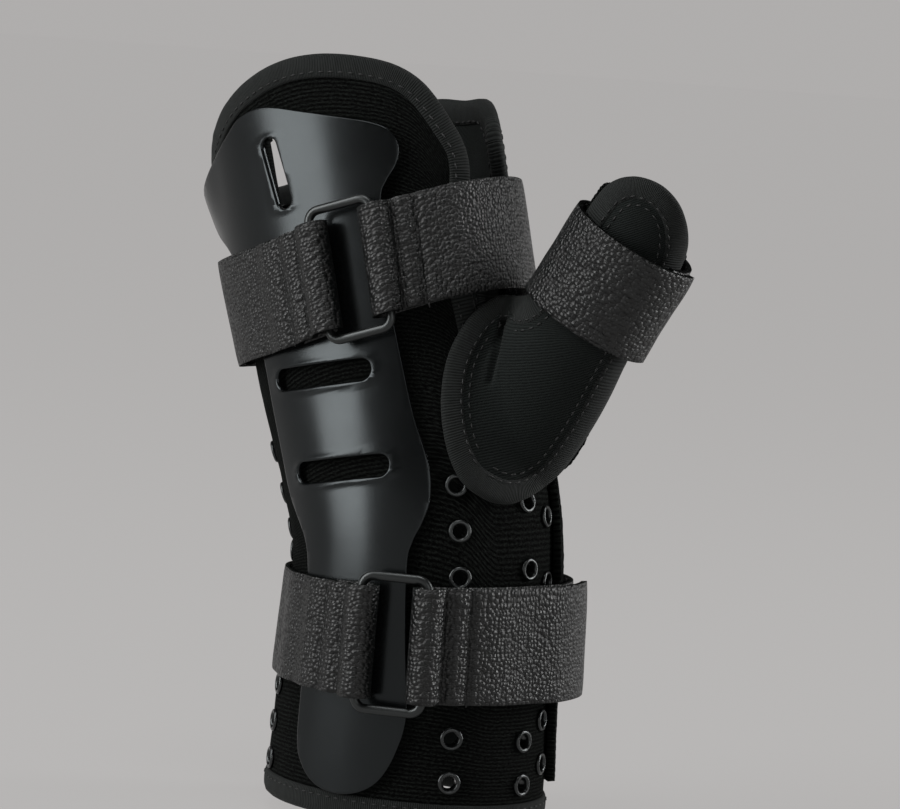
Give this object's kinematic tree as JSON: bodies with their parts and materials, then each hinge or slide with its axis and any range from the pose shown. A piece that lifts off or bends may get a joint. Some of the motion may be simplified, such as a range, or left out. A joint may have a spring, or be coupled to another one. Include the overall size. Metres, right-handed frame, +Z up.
{
  "type": "thumb spica splint",
  "caption": "Padded wrist and thumb splint: open-sided wrap with a pressed palm stay, ring-and-loop straps and a strapped thumb sleeve, in its worn shape.",
  "frame": {"origin": "middle of the wrist, inside the hollow", "axes": "+Z up the forearm towards the hand, +X towards the thumb side, -Y towards the palm side"},
  "size_m": [0.1607, 0.0874, 0.2156],
  "materials": {
    "loop_cloth": "black ribbed loop fabric over padding",
    "tape": "black ribbed binding tape, stitched",
    "smooth_cloth": "smooth matt black stretch fabric over padding",
    "strap": "black pebble-grained leather cloth with a soft sheen",
    "stay": "dark satin lacquered metal",
    "ring": "dark gunmetal, satin",
    "eyelet": "blackened metal with worn bright rims"
  },
  "bodies": {
    "root": {"closure_flap": "loop_cloth", "eyelet_01": "eyelet", "eyelet_02": "eyelet", "eyelet_03": "eyelet", "eyelet_04": "eyelet", "eyelet_05": "eyelet", "eyelet_06": "eyelet", "eyelet_07": "eyelet", "eyelet_08": "eyelet", "eyelet_09": "eyelet", "eyelet_10": "eyelet", "eyelet_11": "eyelet", "eyelet_12": "eyelet", "eyelet_13": "eyelet", "eyelet_14": "eyelet", "eyelet_15": "eyelet", "eyelet_16": "eyelet", "eyelet_17": "eyelet", "eyelet_18": "eyelet", "eyelet_19": "eyelet", "eyelet_20": "eyelet", "eyelet_21": "eyelet", "eyelet_22": "eyelet", "eyelet_23": "eyelet", "eyelet_24": "eyelet", "eyelet_25": "eyelet", "hem_tape": "tape", "lower_ring": "ring", "lower_strap": "strap", "palm_stay": "stay", "thumb_back_panel": "loop_cloth", "thumb_panel": "smooth_cloth", "thumb_panel_tape": "tape", "thumb_strap": "strap", "top_edge_tape": "tape", "upper_ring": "ring", "upper_strap": "strap", "wrap_body": "loop_cloth"}
  },
  "joints": []
}
